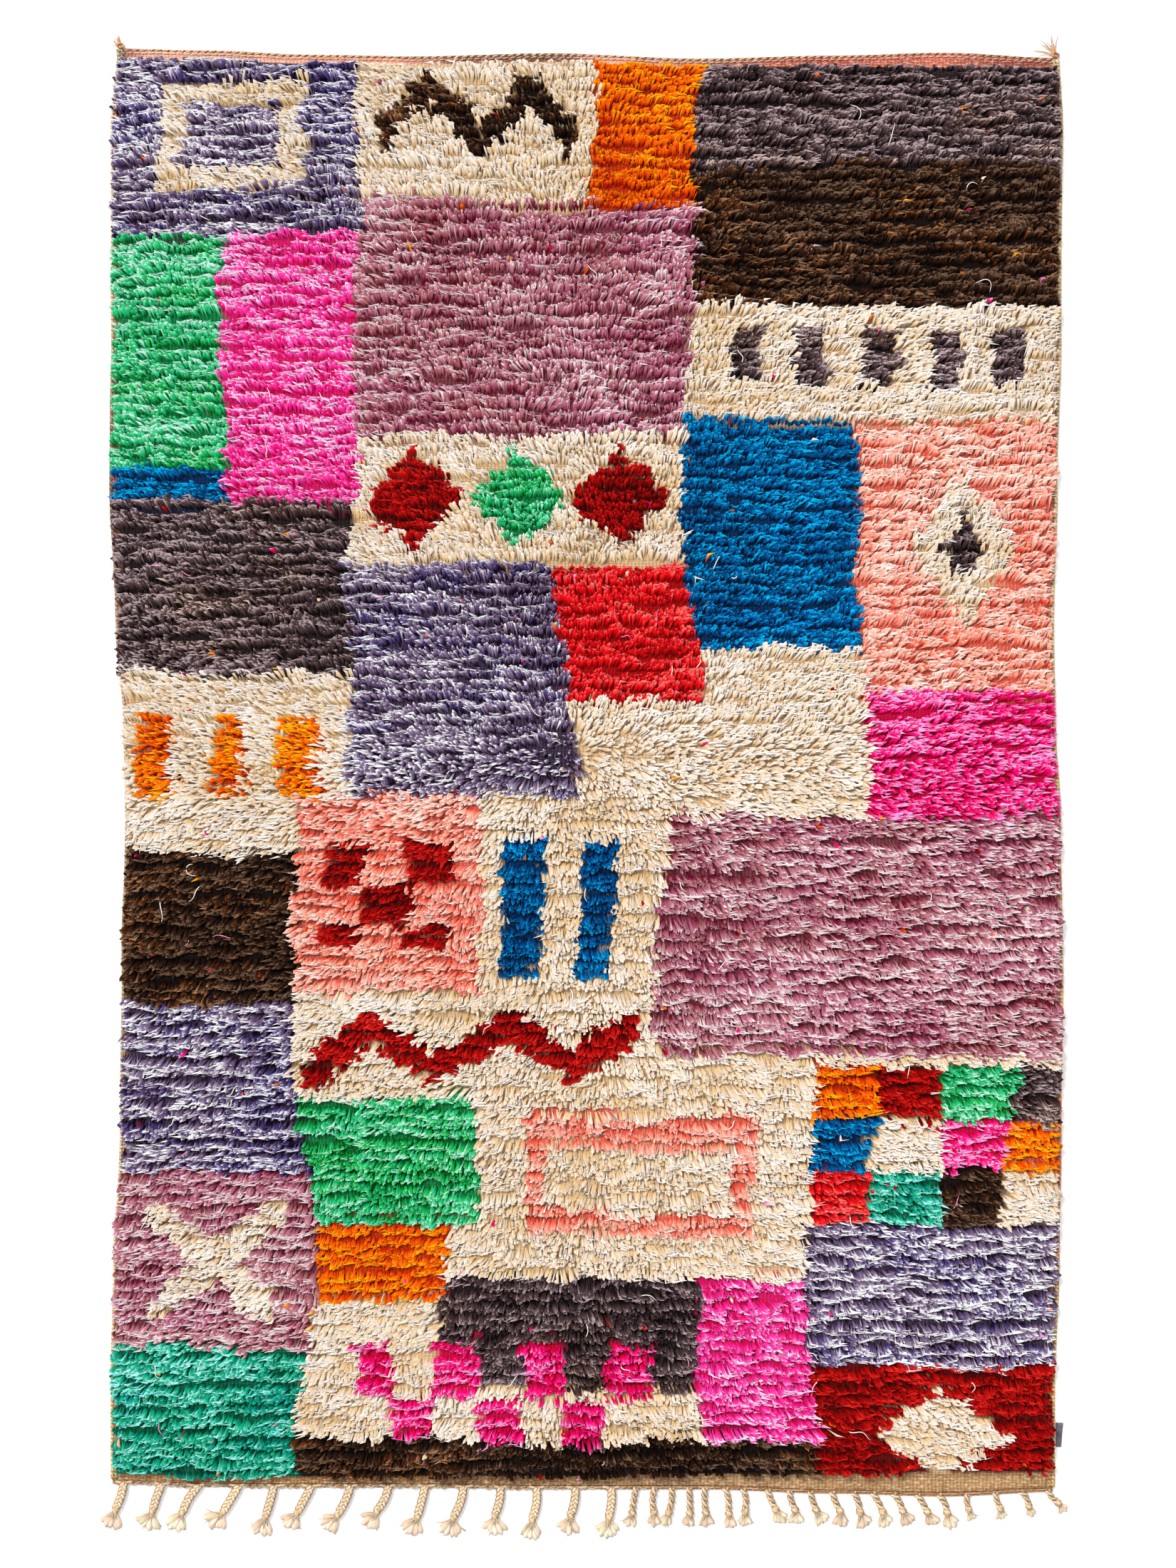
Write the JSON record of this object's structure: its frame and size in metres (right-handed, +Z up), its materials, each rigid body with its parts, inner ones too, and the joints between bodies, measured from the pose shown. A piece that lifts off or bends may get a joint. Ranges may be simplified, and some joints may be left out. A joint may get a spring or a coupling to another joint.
{
  "type": "shag rug",
  "caption": "Flat hand-knotted shag rug with a lumpy wool pile, bare woven ends, bound sides and plaited tassels along one end.",
  "frame": {"origin": "middle of the woven body, on the underside that lies on the floor", "axes": "+Z up out of the pile, +Y along the length towards the end without tassels, +X across to the side with the tab"},
  "size_m": [1.6329, 2.5399, 0.0239],
  "materials": {
    "wool_pile": "long knotted wool pile, many dyes",
    "warp_cotton": "undyed plaited yarn",
    "warp_wool": "frayed yarn",
    "ribbon": "plain woven ribbon"
  },
  "bodies": {
    "root": {"rug": "wool_pile", "tassel_fringe": "warp_cotton", "corner_ends_left": "warp_wool", "corner_ends_right": "warp_wool", "edge_tab": "ribbon"}
  },
  "joints": []
}
